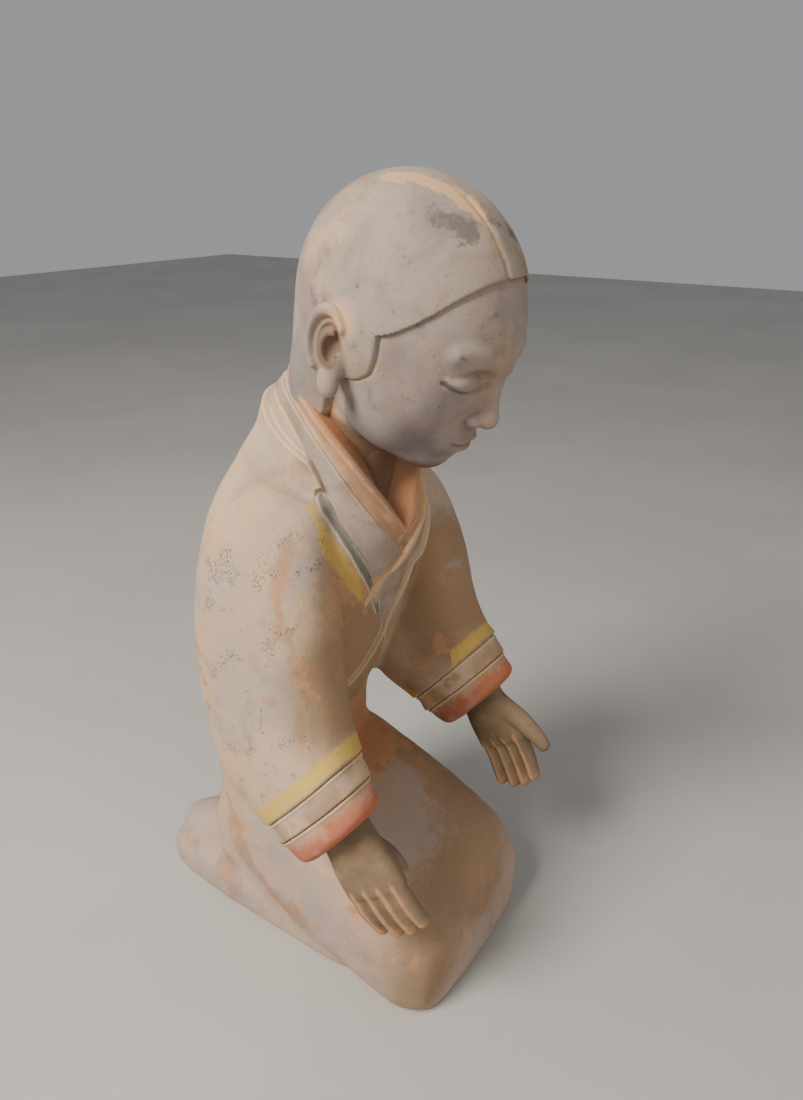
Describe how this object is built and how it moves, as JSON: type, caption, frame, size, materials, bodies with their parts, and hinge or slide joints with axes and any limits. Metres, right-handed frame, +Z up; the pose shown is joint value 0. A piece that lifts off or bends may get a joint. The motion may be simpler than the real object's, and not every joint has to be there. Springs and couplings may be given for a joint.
{
  "type": "tomb attendant figure",
  "caption": "Kneeling tomb attendant of painted earthenware, bowed forward with hanging sleeves and open hands.",
  "frame": {"origin": "on the flat underside, under the middle of the seat", "axes": "+Z up, the figure faces -Y, its right hand is at -X"},
  "size_m": [0.1537, 0.1937, 0.3416],
  "materials": {
    "painted_earthenware": "matt cream-grey slip worn through to peach clay, with yellow ochre and salmon bands"
  },
  "bodies": {
    "root": {"figure": "painted_earthenware"}
  },
  "joints": []
}
